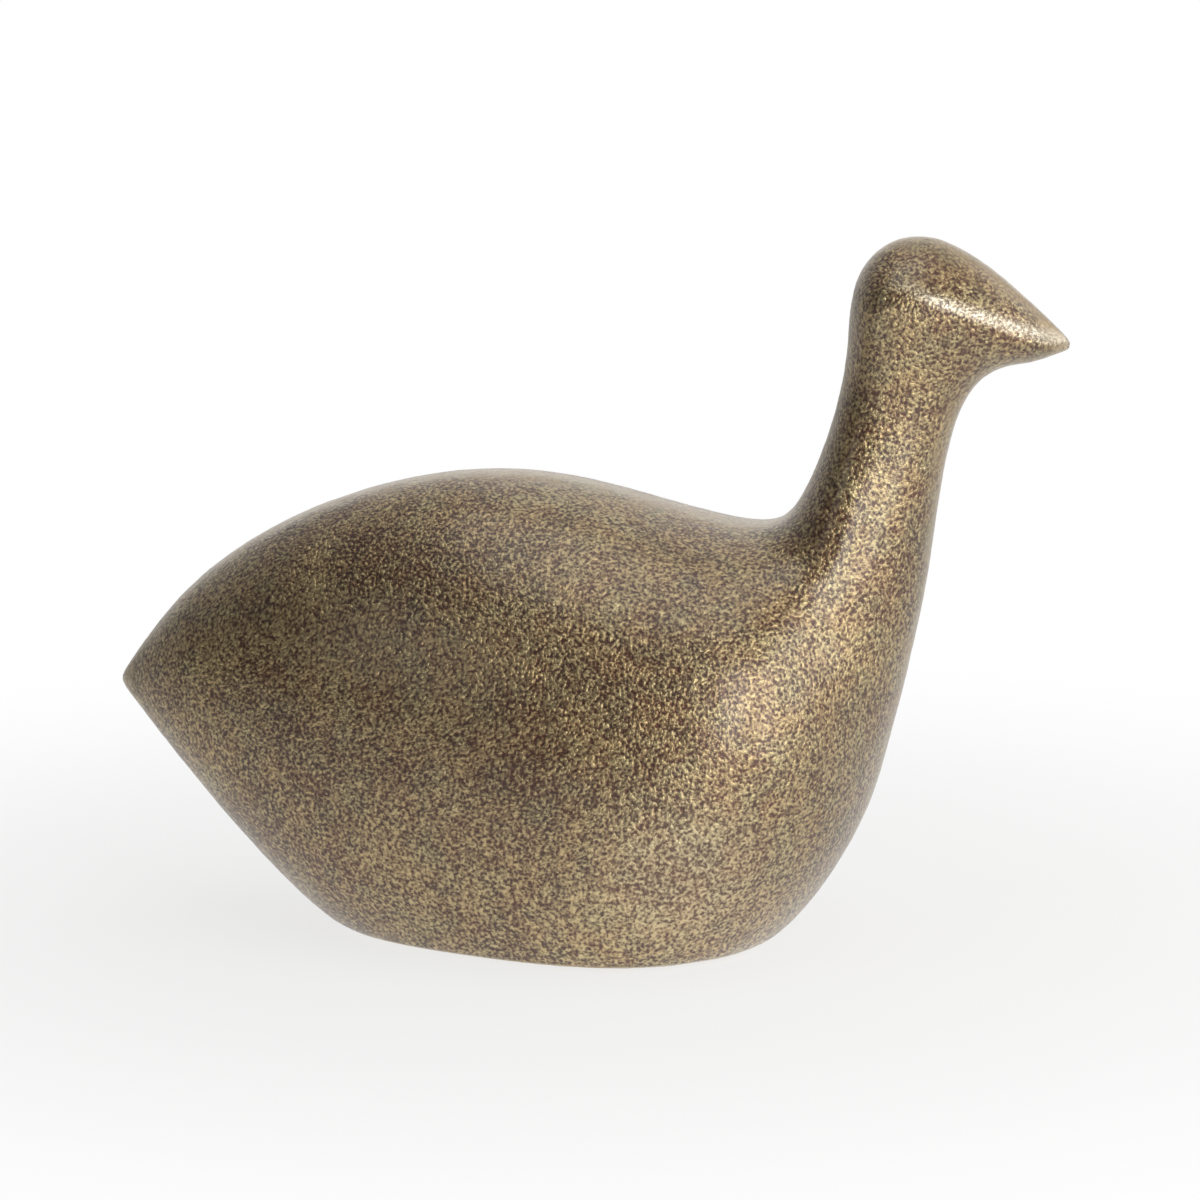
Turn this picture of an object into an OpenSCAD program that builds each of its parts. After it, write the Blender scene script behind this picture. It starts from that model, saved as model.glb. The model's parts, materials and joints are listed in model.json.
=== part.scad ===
// Coot paperweight: a solid metal casting of a coot at rest, standing on a felt pad.
//
// The casting is one loft. Every section lies square to the bird's middle plane and joins a point on
// its upper outline (tail, back, nape, crown, beak) to a point on its lower outline (tail, belly,
// breast, throat, beak). A smooth curve runs through the sections that are named below.
// In these names x is the distance forward of the tail tip, z the height above the surface that the
// bird stands on, and w the full width. All lengths are in millimetres.

/* [Tail tip] */
// Height of the tail tip
tail_z = 25; // [23:0.1:27]
// Thickness of the blunt tail tip
tail_t = 2; // [1:0.1:3]

/* [Rump] */
// Upper outline, forward of the tail tip
rump_x = 8.7; // [8:0.1:9.5]
// Upper outline, height
rump_z = 36.2; // [35:0.1:37.5]
// Lower outline, forward of the tail tip
vent_x = 8.7; // [8:0.1:9.5]
// Lower outline, height
vent_z = 14.3; // [13:0.1:15.5]
// Width across the rump
rump_w = 19; // [17:0.5:21]

/* [Loin] */
// Upper outline, forward of the tail tip
loin_x = 22; // [20:0.1:24]
// Upper outline, height
loin_z = 44.4; // [43:0.1:46]
// Lower outline, forward of the tail tip
flank_x = 23.8; // [22:0.1:25]
// Lower outline, height before the base is ground flat
flank_z = -0.8; // [-2:0.1:0.5]
// Width across the loin
loin_w = 34.5; // [32:0.5:37]

/* [Back] */
// Upper outline, forward of the tail tip, at the highest point of the back
back_x = 39.5; // [37:0.1:42]
// Upper outline, height
back_z = 48.2; // [46:0.1:50]
// Lower outline, forward of the tail tip
belly_x = 40; // [38:0.1:42]
// Lower outline, height before the base is ground flat
belly_z = -9.3; // [-10.5:0.1:-8]
// Width across the back
back_w = 44.5; // [42:0.5:47]

/* [Shoulder] */
// Upper outline, forward of the tail tip
shoulder_x = 55; // [53:0.1:57]
// Upper outline, height
shoulder_z = 45.8; // [44:0.1:47.5]
// Lower outline, forward of the tail tip
keel_x = 57.8; // [56:0.1:60]
// Lower outline, height before the base is ground flat
keel_z = -10.2; // [-11.5:0.1:-9]
// Width across the shoulders
shoulder_w = 48.5; // [45:0.5:52]

/* [Breast] */
// Upper outline, forward of the tail tip
saddle_x = 66.3; // [65.5:0.1:67]
// Upper outline, height of the saddle between back and neck
saddle_z = 43.3; // [42:0.1:44.5]
// Lower outline, forward of the tail tip
breast_x = 74.1; // [73:0.1:75]
// Lower outline, height
breast_z = 5.6; // [4.5:0.1:6.5]
// Width across the breast
breast_w = 40.5; // [38:0.5:43]

/* [Neck root] */
// Upper outline, forward of the tail tip
root_x = 71; // [70.5:0.1:71.5]
// Upper outline, height
root_z = 46; // [45:0.1:47]
// Lower outline, forward of the tail tip
crop_x = 80.5; // [79.5:0.1:81.5]
// Lower outline, height
crop_z = 19.8; // [18.5:0.1:21]
// Width across the root of the neck
root_w = 25.5; // [23:0.5:28]

/* [Neck] */
// Upper outline, forward of the tail tip
neck_x = 73.8; // [73:0.1:74.5]
// Upper outline, height
neck_z = 52.4; // [51.5:0.1:53]
// Lower outline, forward of the tail tip
fore_x = 84.4; // [83.5:0.1:85.5]
// Lower outline, height
fore_z = 38; // [37:0.1:39]
// Width across the neck
neck_w = 16.5; // [15:0.5:18]

/* [Nape] */
// Upper outline, forward of the tail tip
nape_x = 75.8; // [75:0.1:76.5]
// Upper outline, height
nape_z = 61; // [60:0.1:62]
// Lower outline, forward of the tail tip
throat_x = 87.1; // [86.5:0.1:88]
// Lower outline, height
throat_z = 54; // [53:0.1:55]
// Width across the nape
nape_w = 13; // [11.5:0.5:14.5]

/* [Head] */
// Upper outline, forward of the tail tip
poll_x = 77.2; // [76.5:0.1:78]
// Upper outline, height
poll_z = 69.8; // [69:0.1:70.5]
// Lower outline, forward of the tail tip
chin_x = 91.3; // [90.5:0.1:92]
// Lower outline, height
chin_z = 59.7; // [59:0.1:60.4]
// Width across the head
head_w = 16; // [14.5:0.5:17.5]

/* [Crown] */
// Upper outline, forward of the tail tip
crown_x = 84.5; // [84:0.1:85.5]
// Upper outline, height
crown_z = 73.4; // [72.5:0.1:74.5]
// Lower outline, forward of the tail tip
gape_x = 94.4; // [94:0.1:95]
// Lower outline, height
gape_z = 60.5; // [60:0.1:61]
// Width across the crown
crown_w = 12.5; // [11:0.5:14]

/* [Bill] */
// Upper outline, forward of the tail tip
brow_x = 93.7; // [93:0.1:94.5]
// Upper outline, height
brow_z = 67.9; // [67:0.1:69]
// Lower outline, forward of the tail tip
bill_x = 97.2; // [96.5:0.1:97.8]
// Lower outline, height
bill_z = 61.4; // [61:0.1:61.8]
// Width across the bill
bill_w = 7; // [6:0.5:8]

/* [Beak tip] */
// Beak tip, forward of the tail tip: the length of the bird
beak_x = 99; // [98:0.1:100]
// Height of the beak tip
beak_z = 62.7; // [62:0.1:63.5]
// Thickness of the blunt beak tip
beak_t = 1.3; // [0.8:0.1:1.8]

/* [Section shape] */
// Height of the body's widest line, as a share of the section
body_widest = 0.5; // [0.45:0.01:0.55]
// Height of the breast's widest line, as a share of the section
breast_widest = 0.52; // [0.45:0.01:0.6]
// Height of the neck's widest line, as a share of the section
neck_widest = 0.63; // [0.55:0.01:0.7]
// Height of the head's widest line, as a share of the section
head_widest = 0.76; // [0.7:0.01:0.8]
// Height of the ridge below the crown, as a share of the section
crown_widest = 0.46; // [0.4:0.01:0.55]
// Height of the ridge along the bill, as a share of the section
bill_widest = 0.3; // [0.2:0.01:0.4]
// Fullness of the body's sides, where 0.55 is an ellipse
body_side = 0.58; // [0.5:0.01:0.65]
// Fullness of the sides of the head, where the ridge runs out
head_side = 0.52; // [0.45:0.01:0.58]
// Fullness of the sides along the ridge: a lower value makes it sharper
ridge_side = 0.37; // [0.3:0.01:0.45]

/* [Base and pad] */
// Radius of the edge round the ground base
base_edge_r = 1; // [0.5:0.1:1.5]
// Width of the metal rim between the flat of the base and the pad's recess
rim_w = 2.5; // [2:0.1:3.5]
// Radius that the recess is rounded to at its ends
recess_r = 3; // [2:0.5:4]
// Depth of the recess in the base
recess_d = 1.5; // [1:0.1:2]
// Thickness of the felt pad
pad_t = 2; // [2:0.1:3]
// Gap between the pad's edge and the recess
pad_gap = 0.3; // [0.2:0.1:0.5]

/* [Hidden] */
base_z = pad_t - recess_d;
// Depth of a rounded tip, as a share of its thickness
tip_depth = 0.2;
// Handle of a curve that draws a quarter of an ellipse
ellipse = 0.55;
// Facets: rings between named sections, points up each quarter of a ring and round the base's edge
ring_steps = 6;
quarter_steps = 9;
edge_steps = 3;
// Facets: points along each side of the base outline, and round a full turn of the recess's ends
outline_steps = 40;
round_steps = 32;
// Times that a range is halved when a place in it is searched for
halvings = 24;

// One row for each section: upper x and z, lower x and z, half width, share of the widest line, fullness
tail_end = tail_t * tip_depth;
beak_end = beak_x - beak_t * tip_depth;
sections = [
    [tail_end, tail_z + tail_t / 2, tail_end, tail_z - tail_t / 2, tail_t / 2, body_widest, body_side],
    [rump_x, rump_z, vent_x, vent_z, rump_w / 2, body_widest, body_side],
    [loin_x, loin_z, flank_x, flank_z, loin_w / 2, body_widest, body_side],
    [back_x, back_z, belly_x, belly_z, back_w / 2, body_widest, body_side],
    [shoulder_x, shoulder_z, keel_x, keel_z, shoulder_w / 2, body_widest, body_side],
    [saddle_x, saddle_z, breast_x, breast_z, breast_w / 2, breast_widest, body_side],
    [root_x, root_z, crop_x, crop_z, root_w / 2, breast_widest, body_side],
    [neck_x, neck_z, fore_x, fore_z, neck_w / 2, neck_widest, body_side],
    [nape_x, nape_z, throat_x, throat_z, nape_w / 2, neck_widest, body_side],
    [poll_x, poll_z, chin_x, chin_z, head_w / 2, head_widest, head_side],
    [crown_x, crown_z, gape_x, gape_z, crown_w / 2, crown_widest, ridge_side],
    [brow_x, brow_z, bill_x, bill_z, bill_w / 2, bill_widest, ridge_side],
    [beak_end, beak_z + beak_t / 2, beak_end, beak_z - beak_t / 2, beak_t / 2, bill_widest, ridge_side]
];
last = len(sections) - 1;
vent_row = 1;
belly_row = 3;
keel_row = 4;
breast_row = 5;

// Second derivatives of the smooth curve through the rows p, found by elimination and back substitution
function eliminated(p, i, c, d) =
    i == len(p) - 1 ? [c, d] :
    let (
        pivot = 4 - c[i - 1],
        load = 6 * (p[i - 1] - 2 * p[i] + p[i + 1])
    )
    eliminated(p, i + 1, concat(c, [1 / pivot]), concat(d, [(load - d[i - 1]) / pivot]));
function substituted(cd, i, m) =
    i == 0 ? m :
    substituted(cd, i - 1, concat([cd[1][i - 1] - cd[0][i - 1] * m[0]], m));
function bends(p) =
    let (none = p[0] * 0)
    substituted(eliminated(p, 1, [0], [none]), len(p) - 1, [none]);

// The row at place t along the curve, where whole numbers are the named sections
section_bends = bends(sections);
function section(t) =
    let (
        i = min(floor(t), last - 1),
        b = t - i,
        a = 1 - b
    )
    a * sections[i] + b * sections[i + 1]
    + ((pow(a, 3) - a) * section_bends[i] + (pow(b, 3) - b) * section_bends[i + 1]) / 6;

// A quarter of a section, from its upper or lower point at s = 0 to its widest point at s = 1
function out(s) = 3 * pow(1 - s, 2) * s * ellipse + 3 * (1 - s) * pow(s, 2) + pow(s, 3);
function rise(s, side) = pow(1 - s, 3) + 3 * pow(1 - s, 2) * s + 3 * (1 - s) * pow(s, 2) * side;

// A point of a section: s as above, and end is 1 towards the upper point and -1 towards the lower one
function on_section(row, s, end) =
    let (
        low = [row[2], 0, row[3]],
        high = [row[0], 0, row[1]],
        widest = low + row[5] * (high - low),
        reach = end > 0 ? high - widest : low - widest
    )
    widest + rise(s, row[6]) * reach + [0, out(s) * row[4], 0];

// The place s on the lower quarter where the section meets the height z, or the least s where it stays above
function meets(row, z, least, a = 0, b = 1, n = halvings) =
    on_section(row, least, -1)[2] >= z ? least :
    n == 0 ? (a + b) / 2 :
    let (m = (a + b) / 2)
    on_section(row, m, -1)[2] < z ? meets(row, z, least, m, b, n - 1) : meets(row, z, least, a, m, n - 1);

// Height eased into the flat base with the edge radius
function eased(d) =
    d > base_edge_r ? d :
    d < -base_edge_r ? 0 :
    pow(d + base_edge_r, 2) / (4 * base_edge_r);
function grounded(p) = [p[0], p[1], base_z + eased(p[2] - base_z)];

// Half a ring, from the flat of the base round its edge and up the side to the upper point
function half_ring(row) =
    let (
        step = 1 / (quarter_steps + edge_steps),
        edge = [for (j = [0:edge_steps])
            meets(row, base_z + base_edge_r * (2 * j / edge_steps - 1), step * (j + 0.5))],
        side = [for (j = [1:quarter_steps]) edge[edge_steps] + (1 - edge[edge_steps]) * j / quarter_steps]
    )
    concat(
        [for (s = concat(edge, side)) grounded(on_section(row, s, -1))],
        [for (j = [1:quarter_steps]) on_section(row, 1 - j / quarter_steps, 1)]
    );
function mirrored(p) = [p[0], -p[1], p[2]];
function ring(row) =
    let (half = half_ring(row), n = len(half))
    concat(half, [for (i = [n - 2:-1:0]) mirrored(half[i])]);

// A closed skin over rings of equal count, with a point at each end
module skin(rings, start, finish) {
    count = len(rings[0]);
    total = len(rings);
    points = concat([for (r = rings) each r], [start, finish]);
    sides = [
        for (i = [0:total - 2], j = [0:count - 1])
        let (
            k = (j + 1) % count,
            a = i * count + j,
            b = i * count + k
        )
        each [[a, a + count, b], [b, a + count, b + count]]
    ];
    caps = [
        for (j = [0:count - 1])
        let (k = (j + 1) % count, e = (total - 1) * count)
        each [[j, k, total * count], [e + k, e + j, total * count + 1]]
    ];
    polyhedron(points, concat(sides, caps));
}

module bird() {
    rings = [for (i = [0:last * ring_steps]) ring(section(i / ring_steps))];
    skin(rings, [0, 0, tail_z], [beak_x, 0, beak_z]);
}

// The place along the curve, between a and b, where the lower outline meets the flat of the base
flat_z = base_z - base_edge_r;
function lands(a, b, n = halvings) =
    let (m = (a + b) / 2)
    n == 0 ? m :
    (section(m)[3] < flat_z) == (section(b)[3] < flat_z) ? lands(a, m, n - 1) : lands(m, b, n - 1);

// Outline of the flat that is ground on the base, from its rear end along one side to its front end
flat_rear = lands(vent_row, belly_row);
flat_front = lands(keel_row, breast_row);
function flat_point(share) =
    let (row = section(flat_rear + (flat_front - flat_rear) * (1 - cos(180 * share)) / 2))
    on_section(row, meets(row, flat_z, 0), -1);
module base_flat() {
    side = [for (i = [1:outline_steps - 1]) flat_point(i / outline_steps)];
    polygon(concat(
        [[section(flat_rear)[2], 0]],
        [for (p = side) [p[0], p[1]]],
        [[section(flat_front)[2], 0]],
        [for (i = [len(side) - 1:-1:0]) [side[i][0], -side[i][1]]]
    ));
}

// The base outline drawn in by a margin and rounded at its ends
module inset_base(margin) {
    offset(r = recess_r, $fn = round_steps) offset(delta = -margin - recess_r) base_flat();
}

module bird_casting() {
    color("darkgoldenrod")
        translate([-beak_x / 2, 0, 0])
        difference() {
            bird();
            linear_extrude(pad_t) inset_base(rim_w);
        }
}

module felt_pad() {
    color("dimgray")
        translate([-beak_x / 2, 0, 0])
        linear_extrude(pad_t) inset_base(rim_w + pad_gap);
}

bird_casting();
felt_pad();
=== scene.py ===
import bpy
import json
import math
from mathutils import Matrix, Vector

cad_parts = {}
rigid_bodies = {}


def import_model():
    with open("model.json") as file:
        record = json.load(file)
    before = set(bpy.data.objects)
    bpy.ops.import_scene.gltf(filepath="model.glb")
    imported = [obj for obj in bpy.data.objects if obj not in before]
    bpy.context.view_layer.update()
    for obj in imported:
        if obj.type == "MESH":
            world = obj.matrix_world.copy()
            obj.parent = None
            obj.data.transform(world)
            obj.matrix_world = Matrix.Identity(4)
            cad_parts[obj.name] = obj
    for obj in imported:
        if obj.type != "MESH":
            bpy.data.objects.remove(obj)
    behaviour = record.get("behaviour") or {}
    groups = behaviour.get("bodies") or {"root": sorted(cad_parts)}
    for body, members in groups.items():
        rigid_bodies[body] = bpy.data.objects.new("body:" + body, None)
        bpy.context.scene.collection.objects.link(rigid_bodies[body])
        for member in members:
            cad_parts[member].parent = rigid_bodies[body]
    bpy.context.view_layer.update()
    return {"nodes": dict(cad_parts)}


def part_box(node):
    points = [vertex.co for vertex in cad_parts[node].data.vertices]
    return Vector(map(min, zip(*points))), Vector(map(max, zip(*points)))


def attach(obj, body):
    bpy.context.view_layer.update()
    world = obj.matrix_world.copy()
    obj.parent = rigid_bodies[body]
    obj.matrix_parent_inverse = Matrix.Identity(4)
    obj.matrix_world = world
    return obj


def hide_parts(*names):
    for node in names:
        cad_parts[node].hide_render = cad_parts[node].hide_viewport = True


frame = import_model()
mm = 0.001  # the frame is in metres
weld = 0.001 * mm  # corners of a CAD mesh this near are one
midNoise = 0.5  # middle of a noise texture's range
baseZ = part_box("bird_casting")[0].z  # the ground flat under the bird
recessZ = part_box("felt_pad")[1].z  # ceiling of the pad's recess
tailX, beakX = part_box("bird_casting")[0].x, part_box("bird_casting")[1].x
print("frame loaded:", sorted(frame["nodes"]))


def linear(hexColour):  # sRGB hex to the linear values that sockets take
    channels = [int(hexColour[i:i + 2], 16) / 255 for i in (1, 3, 5)]
    return [c / 12.92 if c <= 0.04045 else ((c + 0.055) / 1.055) ** 2.4 for c in channels] + [1]


def addNode(tree, kind, inputs=None, output=0, **settings):  # inputs are values or other nodes' outputs
    node = tree.nodes.new(kind)
    for name, value in settings.items():
        setattr(node, name, value)
    for socket, value in (inputs or {}).items():
        if isinstance(value, bpy.types.NodeSocket):
            tree.links.new(value, node.inputs[socket])
        else:
            node.inputs[socket].default_value = value
    return node.outputs[output] if node.outputs else node


def newMaterial(name):
    material = bpy.data.materials.new(name)
    material.use_nodes = True
    material.node_tree.nodes.clear()
    return material, material.node_tree


def selectOnly(piece):
    bpy.ops.object.select_all(action="DESELECT")
    piece.select_set(True)
    bpy.context.view_layer.objects.active = piece


def copyOfNode(nodeName, name):  # a CAD node's mesh as a piece of its own, with its loose triangles merged
    selectOnly(frame["nodes"][nodeName])
    bpy.ops.object.duplicate()
    piece = bpy.context.active_object
    bpy.ops.object.parent_clear(type="CLEAR_KEEP_TRANSFORM")
    for key in list(piece.keys()):
        del piece[key]
    piece.name = piece.data.name = name
    piece.data.materials.clear()
    bpy.ops.object.mode_set(mode="EDIT")
    bpy.ops.mesh.select_all(action="SELECT")
    bpy.ops.mesh.remove_doubles(threshold=weld)
    bpy.ops.object.mode_set(mode="OBJECT")
    bpy.ops.mesh.customdata_custom_splitnormals_clear()
    return piece


def selectFaces(piece, wanted):  # leaves edit mode on, with these faces selected
    selectOnly(piece)
    bpy.ops.object.mode_set(mode="EDIT")
    bpy.ops.mesh.select_mode(type="FACE")
    bpy.ops.mesh.select_all(action="DESELECT")
    bpy.ops.object.mode_set(mode="OBJECT")
    for face in piece.data.polygons:
        face.select = wanted(face)
    bpy.ops.object.mode_set(mode="EDIT")


def finishWith(piece, kind, **settings):  # adds a modifier and applies it
    selectOnly(piece)
    modifier = piece.modifiers.new(kind.title(), kind)
    for name, value in settings.items():
        setattr(modifier, name, value)
    bpy.ops.object.modifier_apply(modifier=modifier.name)


def displaceWith(piece, treeName, heightOf):  # moves the skin along its normals by a height in metres
    tree = bpy.data.node_groups.new(treeName, "GeometryNodeTree")
    for way in ("INPUT", "OUTPUT"):
        tree.interface.new_socket("Geometry", in_out=way, socket_type="NodeSocketGeometry")
    height = heightOf(tree, addNode(tree, "GeometryNodeInputPosition"))
    normal = addNode(tree, "GeometryNodeInputNormal")
    offset = addNode(tree, "ShaderNodeVectorMath", {0: normal, "Scale": height}, operation="SCALE")
    given = addNode(tree, "NodeGroupInput")
    moved = addNode(tree, "GeometryNodeSetPosition", {"Geometry": given, "Offset": offset})
    addNode(tree, "NodeGroupOutput", {"Geometry": moved})
    finishWith(piece, "NODES", node_group=tree)
    bpy.data.node_groups.remove(tree)


# Camera at the photograph's viewing angle
cameraSettings = {
    "azimuth": 8, "elevation": 12,  # degrees
    "target": (1.0 * mm, 0, 34.7 * mm),
    "distance": 800 * mm,
    "frameWidth": 123.84 * mm,  # what the square frame spans at the target
    "sensor": 36,
    "clip": (10 * mm, 20),
}


def direction(azimuth, elevation):  # azimuth 0 is in front of the bird's right side, 90 before its beak
    a, e = math.radians(azimuth), math.radians(elevation)
    return Vector((math.sin(a) * math.cos(e), -math.cos(a) * math.cos(e), math.sin(e)))


def makeCamera(s):
    data = bpy.data.cameras.new("camera")
    data.sensor_width = s["sensor"]
    data.lens = s["sensor"] * s["distance"] / s["frameWidth"]
    camera = bpy.data.objects.new("camera", data)
    bpy.context.scene.collection.objects.link(camera)
    back = direction(s["azimuth"], s["elevation"])
    camera.location = Vector(s["target"]) + back * s["distance"]
    camera.rotation_mode = "QUATERNION"
    camera.rotation_quaternion = (-back).to_track_quat("-Z", "Y")
    data.clip_start, data.clip_end = s["clip"]
    bpy.context.scene.camera = camera


makeCamera(cameraSettings)
print("camera placed")

# The sand-cast skin: one relief that the mesh and the finish of the casting both read
skin = {
    "patterns": {  # size, depth, detail and wriggle of each layer that the mesh carries
        "wave": (14 * mm, 0.30 * mm, 0.0, 0.0),  # a mould rammed by hand
        "lump": (2.6 * mm, 0.10 * mm, 1.0, 0.3),
        "grain": (0.45 * mm, 0.06 * mm, 0.0, 0.6),  # as fine as the mesh can carry
    },
    "proud": 0.72,  # noise level that stays at the clean skin
    "pitCell": 5.0 * mm, "pitRadius": 0.5 * mm, "pitDepth": 0.2 * mm, "pitShare": 0.45,  # gas pits
    # the parting line, filed away round the middle plane: how far out that fades, how it strays
    # and what grain is left
    "filedFrom": 0.4 * mm, "filedTo": 4.4 * mm, "filedStray": 5 * mm, "filedGrain": 0.3,
    "groundFrom": baseZ + 0.05 * mm, "groundTo": baseZ + 0.5 * mm,  # the ground flat has no grain
}


def skinRelief(tree, place):  # height over the clean skin in metres, and the masks that the finish reads
    along = addNode(tree, "ShaderNodeSeparateXYZ", {0: place}).node.outputs
    layers, height = {}, 0.0
    for name, (size, depth, detail, wriggle) in skin["patterns"].items():
        layers[name] = addNode(tree, "ShaderNodeTexNoise", {
            "Vector": place, "Scale": 1 / size, "Detail": detail, "Distortion": wriggle})
        sunk = addNode(tree, "ShaderNodeMath", {0: layers[name], 1: skin["proud"]}, operation="SUBTRACT")
        height = addNode(tree, "ShaderNodeMath", {0: sunk, 1: depth, 2: height}, operation="MULTIPLY_ADD")
    cell = addNode(tree, "ShaderNodeTexVoronoi", {
        "Vector": place, "Scale": 1 / skin["pitCell"]}).node.outputs
    chosen = addNode(tree, "ShaderNodeMath", {0: addNode(tree, "ShaderNodeSeparateXYZ", {0: cell["Color"]}),
                                              1: skin["pitShare"]}, operation="LESS_THAN")
    near = addNode(tree, "ShaderNodeMapRange", {
        "Value": cell["Distance"], 1: 0.0, 2: skin["pitRadius"] / skin["pitCell"], 3: 1.0, 4: 0.0},
        interpolation_type="SMOOTHSTEP")
    layers["pit"] = addNode(tree, "ShaderNodeMath", {0: near, 1: chosen}, operation="MULTIPLY")
    height = addNode(tree, "ShaderNodeMath", {0: layers["pit"], 1: -skin["pitDepth"], 2: height},
                     operation="MULTIPLY_ADD")
    aside = addNode(tree, "ShaderNodeMath", {0: along["Y"]}, operation="ABSOLUTE")
    stray = addNode(tree, "ShaderNodeMath", {0: layers["lump"], 1: midNoise}, operation="SUBTRACT")
    aside = addNode(tree, "ShaderNodeMath", {0: stray, 1: skin["filedStray"], 2: aside},
                    operation="MULTIPLY_ADD")
    layers["rough"] = addNode(tree, "ShaderNodeMapRange", {
        "Value": aside, 1: skin["filedFrom"], 2: skin["filedTo"], 3: skin["filedGrain"]},
        interpolation_type="SMOOTHSTEP")
    layers["cast"] = addNode(tree, "ShaderNodeMapRange", {
        "Value": along["Z"], 1: skin["groundFrom"], 2: skin["groundTo"]}, interpolation_type="SMOOTHSTEP")
    height = addNode(tree, "ShaderNodeMath", {0: height, 1: layers["cast"]}, operation="MULTIPLY")
    return height, layers


castingSettings = {
    "levels": 2,  # subdivision of the CAD skin before it is meshed evenly
    "spacing": 0.44 * mm,  # of the even mesh
    "relaxTurns": 2, "relaxFactor": 0.5, "relaxSteps": 6,  # evened out, then laid back on the clean skin
    "ceilingNormal": -0.99, "ceilingNear": 0.05 * mm,  # which faces are the recess's ceiling
    "cutter": 2 * recessZ,  # how far the recess's rim is drawn down, to cut through the base
    "edgeAngle": 60,  # degrees; only the recess's edges stay sharp
}


def makeCasting(s):
    casting = copyOfNode("bird_casting", "bird")
    # the recess comes off, to be cut again after the skin has its grain
    selectFaces(casting, lambda f: f.normal.z < s["ceilingNormal"]
                and abs(f.center.z - recessZ) < s["ceilingNear"])
    bpy.ops.mesh.select_more()
    bpy.ops.mesh.separate(type="SELECTED")
    bpy.ops.mesh.select_mode(type="EDGE")
    bpy.ops.mesh.select_all(action="DESELECT")
    bpy.ops.mesh.select_non_manifold()
    bpy.ops.mesh.edge_face_add()
    bpy.ops.mesh.select_all(action="SELECT")
    bpy.ops.mesh.tris_convert_to_quads()
    bpy.ops.object.mode_set(mode="OBJECT")
    recess = next(o for o in bpy.context.selected_objects if o != casting)

    selectOnly(recess)  # drawn down and closed, to be a cutter
    bpy.ops.object.mode_set(mode="EDIT")
    bpy.ops.mesh.select_mode(type="EDGE")
    bpy.ops.mesh.select_all(action="DESELECT")
    bpy.ops.mesh.select_non_manifold()
    bpy.ops.mesh.extrude_region_move(TRANSFORM_OT_translate={"value": (0, 0, -s["cutter"])})
    bpy.ops.mesh.edge_face_add()
    bpy.ops.mesh.select_all(action="SELECT")
    bpy.ops.mesh.normals_make_consistent(inside=False)
    bpy.ops.object.mode_set(mode="OBJECT")

    finishWith(casting, "SUBSURF", levels=s["levels"], render_levels=s["levels"])
    selectOnly(casting)
    bpy.ops.object.duplicate()
    form = bpy.context.active_object  # the clean skin, for the even mesh to lie on
    finishWith(casting, "REMESH", mode="VOXEL", voxel_size=s["spacing"])
    for _ in range(s["relaxTurns"]):
        finishWith(casting, "SMOOTH", factor=s["relaxFactor"], iterations=s["relaxSteps"])
        finishWith(casting, "SHRINKWRAP", target=form, wrap_method="NEAREST_SURFACEPOINT")
    bpy.data.objects.remove(form)
    displaceWith(casting, "sandCastSkin", lambda tree, place: skinRelief(tree, place)[0])
    finishWith(casting, "BOOLEAN", operation="DIFFERENCE", solver="EXACT", object=recess)
    bpy.data.objects.remove(recess)
    selectOnly(casting)
    bpy.ops.object.shade_smooth_by_angle(angle=math.radians(s["edgeAngle"]))
    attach(casting, "root")
    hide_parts("bird_casting")
    return casting


# Antiqued brass, sand cast, darkened, rubbed back and waxed: warm metal on the ridges, dull brown oxide in
# the pits, and a thin clear wax that shows as a pale sheen where the skin turns away
brass = {
    "ridge": "#D7C390", "ridgeWarm": "#DABF8B",
    "pit": "#624033", "pitCool": "#594136",
    "bareAndHighlight": "#EAE0CC",  # pale metal where wear has polished the ridges, also the painted highlight on the bill and the breast
    "patterns": {  # size along x, y and z, detail and wriggle
        "fine": ((0.35 * mm, 0.35 * mm, 0.35 * mm), 1.0, 0.0),  # the sand grain
        "tint": ((3 * mm, 3 * mm, 3 * mm), 2.0, 0.0),
        "patch": ((9 * mm, 9 * mm, 9 * mm), 2.0, 0.5),  # uneven rubbing
        "nick": ((1.6 * mm, 0.3 * mm, 0.3 * mm), 1.0, 0.0),  # left by the file on the parting line
        "grind": ((9 * mm, 0.12 * mm, 9 * mm), 2.0, 0.0),  # lines on the ground base
    },
    "fineDepth": 0.24 * mm, "nickDepth": 0.3, "grindDepth": 0.3,  # the last two as shares of the first
    "fineShare": 0.7,  # of the fine grain in what is rubbed bright
    "patchShare": 0.18,
    "rubbedFrom": 0.34, "rubbedTo": 0.73,  # noise levels from pit to ridge
    "tintFrom": 0.4, "tintTo": 0.65,  # and from one tint of each to the other
    "filed": 0.62, "ground": 0.85,  # how bright these are rubbed
    "tipWorn": 2 * mm, "wearAndHighlight": 0.25, "wornSmooth": 0.1,  # what wear and the painted highlights add to that, and take off the grain
    "beakHighlight": (33.5 * mm, 49.3 * mm, 69.2 * mm, 63.0 * mm),  # a painted highlight along the bill, rubbed bright like the worn tips; x and z of its ends
    "beakHalf": 1.1 * mm, "beakFade": (-2 * mm, 4 * mm),  # half its width; where it sets in, from its start
    # on both sides of the lower breast: in part wear where fingers close round it, in part a painted
    # highlight where it mirrors the bright floor
    "breastWearAndHighlight": (12 * mm, 20 * mm, 12 * mm), "breastWearAndHighlightFrom": 2.4 * mm, "breastWearAndHighlightTo": 12 * mm, "breastWearAndHighlightShare": 0.18,
    "nickFrom": 0.64, "nickTo": 0.72,  # noise levels from none to a nick
    "ridgeRoughness": 0.33, "pitRoughness": 0.45,
    "wax": 0.9, "waxRoughness": 0.3, "waxIor": 1.6,
}


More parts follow.
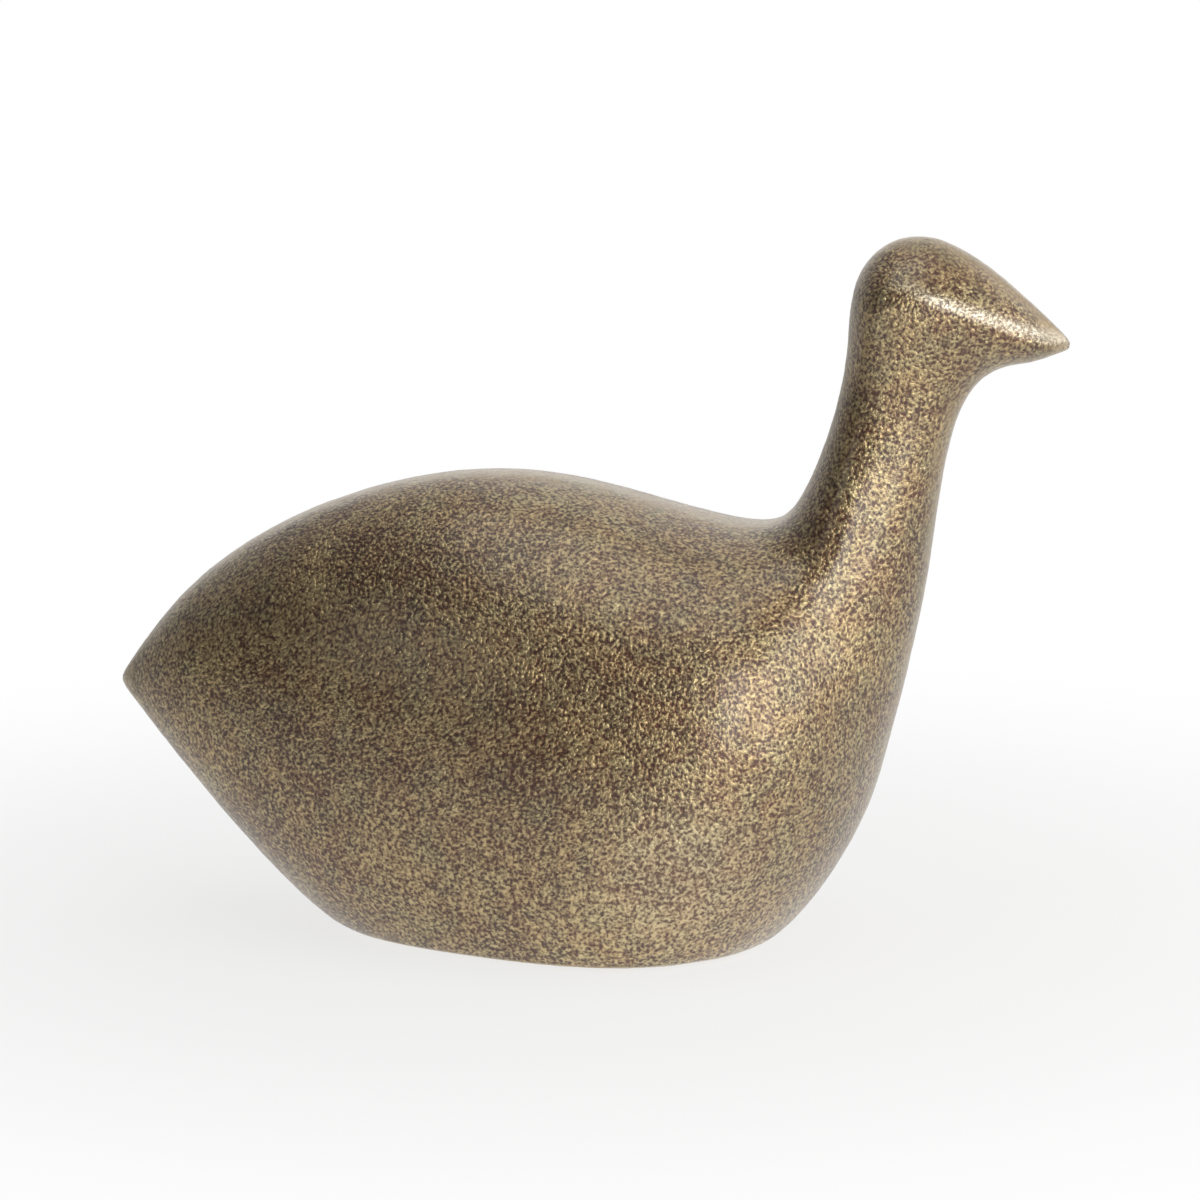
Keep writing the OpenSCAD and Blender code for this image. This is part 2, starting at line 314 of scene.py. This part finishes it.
def antiquedBrass(s):
    material, tree = newMaterial("antiquedSandCastBrass")
    place = addNode(tree, "ShaderNodeTexCoord", output=3)
    along = addNode(tree, "ShaderNodeSeparateXYZ", {0: place}).node.outputs
    x, z = along["X"], along["Z"]
    layers = skinRelief(tree, place)[1]
    noise = {}
    for name, (sizes, detail, wriggle) in s["patterns"].items():
        perMetre = [1 / size for size in sizes]
        spread = addNode(tree, "ShaderNodeVectorMath", {0: place, 1: perMetre}, operation="MULTIPLY")
        noise[name] = addNode(tree, "ShaderNodeTexNoise", {
            "Vector": spread, "Scale": 1.0, "Detail": detail, "Distortion": wriggle})

    # where the skin is worn, filed, ground or nicked, and where highlights are painted on the bill and the
    # breast
    atBeak = addNode(tree, "ShaderNodeMapRange", {"Value": x, 1: beakX - s["tipWorn"], 2: beakX})
    wearAndHighlight = addNode(tree, "ShaderNodeMapRange", {
        "Value": x, 1: tailX, 2: tailX + s["tipWorn"], 3: 1.0, 4: atBeak})
    # a painted highlight: a band along the bill's bright line, lightened and smoothed like wear
    start, end, startZ, endZ = s["beakHighlight"]
    brightLineZ = addNode(tree, "ShaderNodeMapRange", {"Value": x, 1: start, 2: end, 3: startZ, 4: endZ})
    aside = addNode(tree, "ShaderNodeMath", {0: z, 1: brightLineZ}, operation="SUBTRACT")
    aside = addNode(tree, "ShaderNodeMath", {0: aside}, operation="ABSOLUTE")
    begin, full = s["beakFade"]
    ahead = addNode(tree, "ShaderNodeMapRange", {"Value": x, 1: start + begin, 2: start + full})
    paintedBillHighlight = addNode(tree, "ShaderNodeMapRange", {
        "Value": aside, 1: 0.0, 2: s["beakHalf"], 3: ahead, 4: 0.0}, interpolation_type="SMOOTHSTEP")
    wearAndHighlight = addNode(tree, "ShaderNodeMath", {0: wearAndHighlight, 1: paintedBillHighlight}, operation="MAXIMUM")
    # a painted highlight on the lower breast, in part wear from fingers
    nearSide = addNode(tree, "ShaderNodeVectorMath", {0: place}, operation="ABSOLUTE")
    away = addNode(tree, "ShaderNodeVectorMath", {0: nearSide, 1: s["breastWearAndHighlight"]},
                   output=1, operation="DISTANCE")
    breastWearAndHighlight = addNode(tree, "ShaderNodeMapRange", {
        "Value": away, 1: s["breastWearAndHighlightFrom"], 2: s["breastWearAndHighlightTo"], 3: s["breastWearAndHighlightShare"], 4: 0.0},
        interpolation_type="SMOOTHSTEP")
    forward = addNode(tree, "ShaderNodeMath", {0: x, 1: 0.0}, operation="GREATER_THAN")
    breastWearAndHighlight = addNode(tree, "ShaderNodeMath", {0: breastWearAndHighlight, 1: forward}, operation="MULTIPLY")
    wearAndHighlight = addNode(tree, "ShaderNodeMath", {0: wearAndHighlight, 1: breastWearAndHighlight}, operation="MAXIMUM")
    filed = addNode(tree, "ShaderNodeMath", {0: 1.0, 1: layers["rough"]}, operation="SUBTRACT")
    ground = addNode(tree, "ShaderNodeMath", {0: 1.0, 1: layers["cast"]}, operation="SUBTRACT")
    nick = addNode(tree, "ShaderNodeMapRange", {"Value": noise["nick"], 1: s["nickFrom"], 2: s["nickTo"]},
                   interpolation_type="SMOOTHSTEP")
    nick = addNode(tree, "ShaderNodeMath", {0: nick, 1: filed}, operation="MULTIPLY")

    # how far each place is rubbed bright, painted highlights included
    grain = addNode(tree, "ShaderNodeMix", {0: s["fineShare"], 2: layers["grain"], 3: noise["fine"]})
    uneven = addNode(tree, "ShaderNodeMath", {0: noise["patch"], 1: midNoise}, operation="SUBTRACT")
    grain = addNode(tree, "ShaderNodeMath", {0: uneven, 1: s["patchShare"], 2: grain},
                    operation="MULTIPLY_ADD")
    rubbed = addNode(tree, "ShaderNodeMapRange", {"Value": grain, 1: s["rubbedFrom"], 2: s["rubbedTo"]},
                     interpolation_type="SMOOTHSTEP")
    rubbed = addNode(tree, "ShaderNodeMath", {0: wearAndHighlight, 1: s["wearAndHighlight"], 2: rubbed},
                     operation="MULTIPLY_ADD", use_clamp=True)
    for mask, shine in ((filed, s["filed"]), (layers["pit"], 0.0), (nick, 0.0), (ground, s["ground"])):
        rubbed = addNode(tree, "ShaderNodeMix", {0: mask, 2: rubbed, 3: shine})

    tint = addNode(tree, "ShaderNodeMapRange", {"Value": noise["tint"], 1: s["tintFrom"], 2: s["tintTo"]})
    pit = addNode(tree, "ShaderNodeMix", {0: tint, 6: linear(s["pit"]), 7: linear(s["pitCool"])},
                  output=2, data_type="RGBA")
    ridge = addNode(tree, "ShaderNodeMix", {0: tint, 6: linear(s["ridgeWarm"]), 7: linear(s["ridge"])},
                    output=2, data_type="RGBA")
    colour = addNode(tree, "ShaderNodeMix", {0: rubbed, 6: pit, 7: ridge}, output=2, data_type="RGBA")
    # pale where worn, and the painted whitish highlights on the bill and the breast
    polishedAndHighlight = addNode(tree, "ShaderNodeMath", {0: wearAndHighlight, 1: rubbed}, operation="MULTIPLY")
    colour = addNode(tree, "ShaderNodeMix", {0: polishedAndHighlight, 6: colour, 7: linear(s["bareAndHighlight"])},
                     output=2, data_type="RGBA")
    roughness = addNode(tree, "ShaderNodeMapRange", {
        "Value": rubbed, 3: s["pitRoughness"], 4: s["ridgeRoughness"]})

    relief = addNode(tree, "ShaderNodeMath", {0: noise["fine"], 1: layers["rough"]}, operation="MULTIPLY")
    smooth = addNode(tree, "ShaderNodeMath", {0: wearAndHighlight, 1: s["wornSmooth"]}, operation="MULTIPLY")
    relief = addNode(tree, "ShaderNodeMix", {0: smooth, 2: relief, 3: midNoise})
    relief = addNode(tree, "ShaderNodeMath", {0: nick, 1: -s["nickDepth"], 2: relief},
                     operation="MULTIPLY_ADD")
    lines = addNode(tree, "ShaderNodeMath", {0: noise["grind"], 1: s["grindDepth"]}, operation="MULTIPLY")
    relief = addNode(tree, "ShaderNodeMix", {0: ground, 2: relief, 3: lines})
    normal = addNode(tree, "ShaderNodeBump", {"Height": relief, "Distance": s["fineDepth"]})
    shader = addNode(tree, "ShaderNodeBsdfPrincipled", {
        "Base Color": colour, "Metallic": 1.0, "Roughness": roughness, "Normal": normal,
        "Coat Weight": s["wax"], "Coat Roughness": s["waxRoughness"], "Coat IOR": s["waxIor"]})
    addNode(tree, "ShaderNodeOutputMaterial", {"Surface": shader})
    return material


bird = makeCasting(castingSettings)
bird.data.materials.clear()
bird.data.materials.append(antiquedBrass(brass))
print("casting:", len(bird.data.polygons), "faces")

# Studio: a white floor and surround with soft lamps, where a brightness of 1 is white
studio = {
    "floor": "#E4E4E2", "floorSize": 4.0, "white": "#FFFFFF",
    # the floor: a middle, metres from there between which it changes, and what it has there
    "seen": ((0, 0, 0), 0.04, 0.14, 0.76, 1.0),  # share of plain white, the rest takes the shadow
    "mirrored": ((0.022, -0.033, 0), 0.012, 0.04, 0.97),  # brightness of the floor in the metal: a painted pool of light by the breast, seen only in reflections
    "mirroredAside": (-0.20, 0.02, 0.44, 0.78),  # beyond the pool, a painted shadow of the bird, darker towards the tail: two values of x, and what it has there
    # brightness of the surround: the values of y between which it changes, and what it adds there
    "surround": ((-0.3, 0.6, 0.06, 0.4), (0.75, 0.95, 0.0, 0.58)),
    "lamps": {  # azimuth, elevation, distance, width, height, brightness
        "keySoftbox": (32, 20, 0.5, 0.12, 0.34, 4.9),  # tall, in front of the breast
        "breastStrip": (54, 12, 0.22, 0.05, 0.16, 3.4),
        "lowSoftbox": (80, 9, 0.6, 0.20, 0.16, 2.5),
        "sideSoftbox": (84, 30, 0.6, 0.36, 0.24, 2.2),
        "rearSoftbox": (126, 32, 0.6, 0.30, 0.30, 1.05),
        "topSoftbox": (0, 82, 0.6, 0.40, 0.48, 1.3),
        "backSoftbox": (165, 52, 0.6, 0.50, 0.30, 0.4),
        "fillSoftbox": (-38, 26, 0.6, 0.26, 0.32, 0.58),
    },
}


def makeStudio(s):
    bpy.ops.mesh.primitive_plane_add(size=s["floorSize"])
    floor = bpy.context.active_object
    floor.name = "floor"
    material, tree = newMaterial("paleFloor")
    path = addNode(tree, "ShaderNodeLightPath").node.outputs
    place = addNode(tree, "ShaderNodeTexCoord", output=3)
    levels = []
    x = addNode(tree, "ShaderNodeSeparateXYZ", {0: place})
    # in the metal's reflections the floor carries a painted pool of light and a painted shadow
    low, high, less, more = s["mirroredAside"]
    paintedShadeBeyond = addNode(tree, "ShaderNodeMapRange", {"Value": x, 1: low, 2: high, 3: less, 4: more})
    for middle, near, far, inner, outer in (s["seen"], (*s["mirrored"], paintedShadeBeyond)):
        away = addNode(tree, "ShaderNodeVectorMath", {0: place, 1: middle}, output=1, operation="DISTANCE")
        levels.append(addNode(tree, "ShaderNodeMapRange", {
            "Value": away, 1: near, 2: far, 3: inner, 4: outer}, interpolation_type="SMOOTHSTEP"))
    seen, mirrored = levels
    share = addNode(tree, "ShaderNodeMath", {0: path["Is Camera Ray"], 1: seen, 2: path["Is Glossy Ray"]},
                    operation="MULTIPLY_ADD")
    # the glow: plain white for the camera, and the painted pool and shadow in reflections
    strength = addNode(tree, "ShaderNodeMix", {0: path["Is Glossy Ray"], 2: 1.0, 3: mirrored})
    matt = addNode(tree, "ShaderNodeBsdfDiffuse", {"Color": linear(s["floor"])})
    glow = addNode(tree, "ShaderNodeEmission", {"Color": linear(s["white"]), "Strength": strength})
    shader = addNode(tree, "ShaderNodeMixShader", {0: share, 1: matt, 2: glow})
    addNode(tree, "ShaderNodeOutputMaterial", {"Surface": shader})
    floor.data.materials.append(material)
    for name, (azimuth, elevation, distance, width, height, brightness) in s["lamps"].items():
        data = bpy.data.lights.new(name, "AREA")
        data.shape, data.size, data.size_y = "RECTANGLE", width, height
        data.energy = math.pi * width * height * brightness  # watts
        lamp = bpy.data.objects.new(name, data)
        bpy.context.scene.collection.objects.link(lamp)
        lamp.location = Vector(cameraSettings["target"]) + direction(azimuth, elevation) * distance
        lamp.rotation_euler = direction(azimuth, elevation).to_track_quat("Z", "Y").to_euler()
    world = bpy.data.worlds.new("studio")
    world.use_nodes = True
    tree = world.node_tree
    tree.nodes.clear()
    path = addNode(tree, "ShaderNodeLightPath").node.outputs
    y = addNode(tree, "ShaderNodeSeparateXYZ", {0: addNode(tree, "ShaderNodeTexCoord")}, output=1)
    strength = 0.0
    for low, high, less, more in s["surround"]:
        share = addNode(tree, "ShaderNodeMapRange", {"Value": y, 1: low, 2: high, 3: less, 4: more})
        strength = addNode(tree, "ShaderNodeMath", {0: strength, 1: share}, operation="ADD")
    strength = addNode(tree, "ShaderNodeMath", {0: strength, 1: path["Is Camera Ray"]}, operation="MAXIMUM")
    light = addNode(tree, "ShaderNodeBackground", {"Color": linear(s["white"]), "Strength": strength})
    addNode(tree, "ShaderNodeOutputWorld", {"Surface": light})
    bpy.context.scene.world = world


makeStudio(studio)
bpy.context.scene.view_settings.view_transform = "Standard"
print("studio lit")

# The pad: an oval of pressed felt cut to the recess, glued in and standing a little proud of the ground base
felt = {
    "spacing": 0.38 * mm,  # of the even mesh
    "edge": 0.4 * mm, "edgeSegments": 3, "edgeAngle": 60,  # the cut edge, softened; degrees
    "relaxFactor": 0.5, "relaxSteps": 4,
    "faceNormal": 0.9,  # which faces are the upper side, whose area is that of the cut felt
    "nap": 0.9 * mm, "napDepth": 0.16 * mm, "napDetail": 2.0,  # matted tufts
    # width and length; drawn coarser than wool, to show
    "fibre": (0.22 * mm, 1.7 * mm), "fibreDepth": 0.10 * mm, "fibreDetail": 1.0,
    "turns": (8, 47, 85, 131, 164), "wriggle": 1.0,  # degrees; how the fibres lie, and how they curl
    "strandFrom": 0.5, "strandTo": 0.85,  # from the dark between fibres to the pale of a fibre
    "proud": 0.75,  # noise level that stays at the cut face
    "dark": "#34312D", "pale": "#756E65",
    "roughness": 0.95, "sheen": 0.25, "sheenRoughness": 0.5, "sheenTint": "#8A837A",
}


def feltNap(tree, place):  # height over the cut face in metres, never above 0, and the fibres from 0 to 1
    fibres = 0.0
    width, length = felt["fibre"]
    for turn in felt["turns"]:
        laid = addNode(tree, "ShaderNodeVectorRotate", {"Vector": place, "Angle": math.radians(turn)},
                       rotation_type="Z_AXIS")
        laid = addNode(tree, "ShaderNodeVectorMath", {0: laid, 1: (1 / length, 1 / width, 1 / width)},
                       operation="MULTIPLY")
        strand = addNode(tree, "ShaderNodeTexNoise", {
            "Vector": laid, "Scale": 1.0, "Detail": felt["fibreDetail"], "Distortion": felt["wriggle"]})
        fibres = addNode(tree, "ShaderNodeMath", {0: strand, 1: fibres}, operation="MAXIMUM")
    nap = addNode(tree, "ShaderNodeTexNoise", {
        "Vector": place, "Scale": 1 / felt["nap"], "Detail": felt["napDetail"]})
    height = 0.0
    for pattern, depth in ((fibres, felt["fibreDepth"]), (nap, felt["napDepth"])):
        sunk = addNode(tree, "ShaderNodeMath", {0: pattern, 1: felt["proud"]}, operation="SUBTRACT")
        sunk = addNode(tree, "ShaderNodeMath", {0: sunk, 1: 0.0}, operation="MINIMUM")
        height = addNode(tree, "ShaderNodeMath", {0: sunk, 1: depth, 2: height}, operation="MULTIPLY_ADD")
    return height, fibres


def makePad(s):
    pad = copyOfNode("felt_pad", "felt")
    finishWith(pad, "BEVEL", width=s["edge"], segments=s["edgeSegments"], limit_method="ANGLE",
               angle_limit=math.radians(s["edgeAngle"]))
    finishWith(pad, "REMESH", mode="VOXEL", voxel_size=s["spacing"])
    finishWith(pad, "SMOOTH", factor=s["relaxFactor"], iterations=s["relaxSteps"])
    displaceWith(pad, "feltNap", lambda tree, place: feltNap(tree, place)[0])
    selectOnly(pad)
    bpy.ops.object.shade_smooth()
    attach(pad, "root")
    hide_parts("felt_pad")
    return pad


# Matted wool fibres: no shine, a soft sheen of loose fibre ends, darker between the tufts
def pressedWoolFelt(s):
    material, tree = newMaterial("pressedWoolFelt")
    place = addNode(tree, "ShaderNodeTexCoord", output=3)
    fibres = feltNap(tree, place)[1]
    strands = addNode(tree, "ShaderNodeMapRange", {"Value": fibres, 1: s["strandFrom"], 2: s["strandTo"]})
    colour = addNode(tree, "ShaderNodeMix", {0: strands, 6: linear(s["dark"]), 7: linear(s["pale"])},
                     output=2, data_type="RGBA")
    normal = addNode(tree, "ShaderNodeBump", {"Height": fibres, "Distance": s["fibreDepth"]})
    shader = addNode(tree, "ShaderNodeBsdfPrincipled", {
        "Base Color": colour, "Roughness": s["roughness"], "Normal": normal, "Sheen Weight": s["sheen"],
        "Sheen Roughness": s["sheenRoughness"], "Sheen Tint": linear(s["sheenTint"])})
    addNode(tree, "ShaderNodeOutputMaterial", {"Surface": shader})
    return material


pad = makePad(felt)
pad.data.materials.append(pressedWoolFelt(felt))
print("felt pad:", len(pad.data.polygons), "faces")
